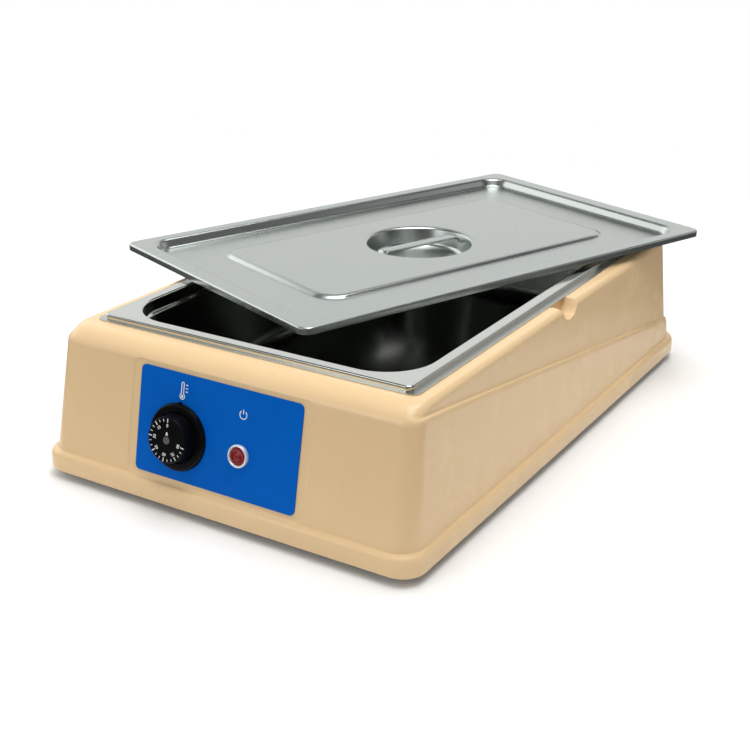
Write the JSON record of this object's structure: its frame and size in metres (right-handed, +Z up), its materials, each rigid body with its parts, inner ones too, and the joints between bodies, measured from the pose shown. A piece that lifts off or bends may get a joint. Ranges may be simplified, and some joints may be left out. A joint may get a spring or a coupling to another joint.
{
  "type": "chocolate melting tank",
  "caption": "Bench chocolate melting tank: cream moulded housing, lift-out steel pan in a dry-heated well, thermostat knob and pilot lamp on the front, loose lid resting askew.",
  "frame": {"origin": "on the table, under the middle of the base flange's footprint", "axes": "+X to the right seen from the control panel, +Y to the rear, +Z up; the control panel faces -Y"},
  "size_m": [0.49, 0.7107, 0.1585],
  "materials": {
    "cream_moulding": "satin, lightly textured moulding",
    "satin_steel": "satin stainless sheet with polished edges",
    "zinc_steel": "zinc-plated sheet",
    "zinc_screw": "zinc-plated",
    "black_rubber": "matt",
    "silicone_mat": "matt",
    "felt": "fibrous",
    "black_plastic": "semi-gloss",
    "blue_panel": "smooth screen-printed film",
    "grey_insert": "semi-gloss",
    "chrome_ring": "bright",
    "red_lens": "clear red, facetted",
    "pale_plastic": "moulded",
    "copper": "bare copper",
    "brass": "bare brass",
    "brown_wire": "soft insulation",
    "blue_wire": "soft insulation",
    "glass_sleeve_wire": "braided sleeve"
  },
  "bodies": {
    "housing": {"body_shell": "cream_moulding", "base_plate": "zinc_steel", "base_screws": "zinc_screw", "chassis_screws": "zinc_screw", "rubber_feet": "black_rubber", "foot_screws": "zinc_screw", "foot_nuts": "zinc_screw", "heating_well": "satin_steel", "well_clamps": "zinc_steel", "clamp_nuts": "zinc_screw", "heater_mat": "silicone_mat", "insulation_pad": "felt", "heat_shield": "zinc_steel", "shield_posts": "brass", "control_panel": "blue_panel", "thermostat_body": "pale_plastic", "thermostat_screws": "zinc_screw", "knob_bezel": "black_plastic", "capillary_tube": "copper", "sensor_bulb": "copper", "bulb_clips": "zinc_steel", "thermal_cutout": "black_plastic", "lamp_bezel": "chrome_ring", "lamp_lens": "red_lens", "lamp_body": "pale_plastic", "lamp_nut": "black_plastic", "terminal_block": "pale_plastic", "terminal_screws": "brass", "earth_bolt": "brass", "earth_nut": "brass", "cable_gland": "black_plastic", "gland_nut": "black_plastic", "wire_live": "brown_wire", "wire_heater": "glass_sleeve_wire", "wire_neutral": "blue_wire", "wire_lamp": "blue_wire"},
    "knob": {"thermostat_knob": "black_plastic", "thermostat_shaft": "zinc_screw", "knob_cap": "grey_insert"},
    "pan": {"gastro_pan": "satin_steel"},
    "lid": {"lid": "satin_steel", "lid_handle": "satin_steel"}
  },
  "joints": [
    {"name": "knob_turn", "type": "hinge", "parent": "housing", "child": "knob", "pos_m": [-0.044, -0.29784, 0.07066], "axis": [0, 0.9813, -0.1925], "range_deg": [0, 260]},
    {"name": "pan_lift", "type": "slide", "parent": "housing", "child": "pan", "axis": [0, 0, 1], "range_m": [0, 0.13]},
    {"name": "lid_lift", "type": "slide", "parent": "pan", "child": "lid", "axis": [0, 0, 1], "range_m": [0, 0.2]}
  ]
}
